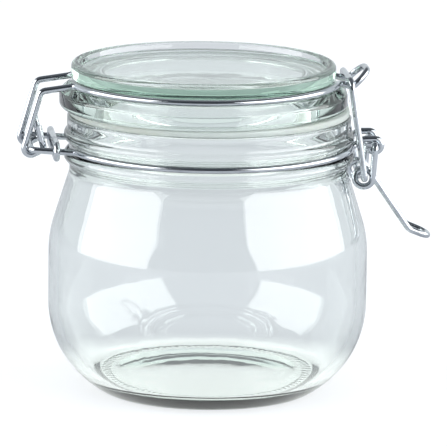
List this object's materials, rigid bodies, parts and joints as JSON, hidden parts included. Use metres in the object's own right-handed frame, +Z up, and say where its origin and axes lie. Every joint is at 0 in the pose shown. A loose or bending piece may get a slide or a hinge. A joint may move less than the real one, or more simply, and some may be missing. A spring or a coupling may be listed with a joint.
{
  "type": "lidded glass canister",
  "caption": "Round-shouldered clear glass storage canister with a rimmed glass lid, a flat rubber gasket and a wire bail closure that swings off with a finger lever",
  "frame": {"origin": "centre of the ring that the jar stands on, on the jar's own axis", "axes": "+Z up along the jar, +X from the lid's hinge to the clasp, +Y along the hinge"},
  "size_m": [0.1298, 0.1, 0.1033],
  "materials": {
    "jar_glass": "clear, faint green in thick glass",
    "lid_glass": "clear, green in thick glass",
    "gasket": "matt translucent white",
    "lid_wire": "bright drawn wire",
    "neck_wire": "bright drawn wire",
    "clip_ring": "bright drawn wire",
    "lever": "bright drawn wire",
    "closing_bail": "bright drawn wire"
  },
  "bodies": {
    "canister": {"jar": "jar_glass", "neck_wire": "neck_wire", "clip_ring": "clip_ring"},
    "lid": {"lid": "lid_glass", "gasket": "gasket", "lid_wire": "lid_wire"},
    "lever": {"lever": "lever"},
    "bail": {"closing_bail": "closing_bail"}
  },
  "joints": [
    {"name": "lid_hinge", "type": "hinge", "parent": "canister", "child": "lid", "pos_m": [-0.0564, 0, 0.0783], "axis": [0, -1, 0], "range_deg": [0, 180]},
    {"name": "lever_pivot", "type": "hinge", "parent": "canister", "child": "lever", "pos_m": [0.0513, 0, 0.0778], "axis": [0, -1, 0], "range_deg": [0, 130]},
    {"name": "bail_pivot", "type": "hinge", "parent": "lever", "child": "bail", "pos_m": [0.0478, 0, 0.0678], "axis": [0, -1, 0], "range_deg": [-221, 0]}
  ],
  "couplings": [
    {"joint": "bail_pivot", "follows": "lever_pivot", "ratio": -1.7}
  ]
}
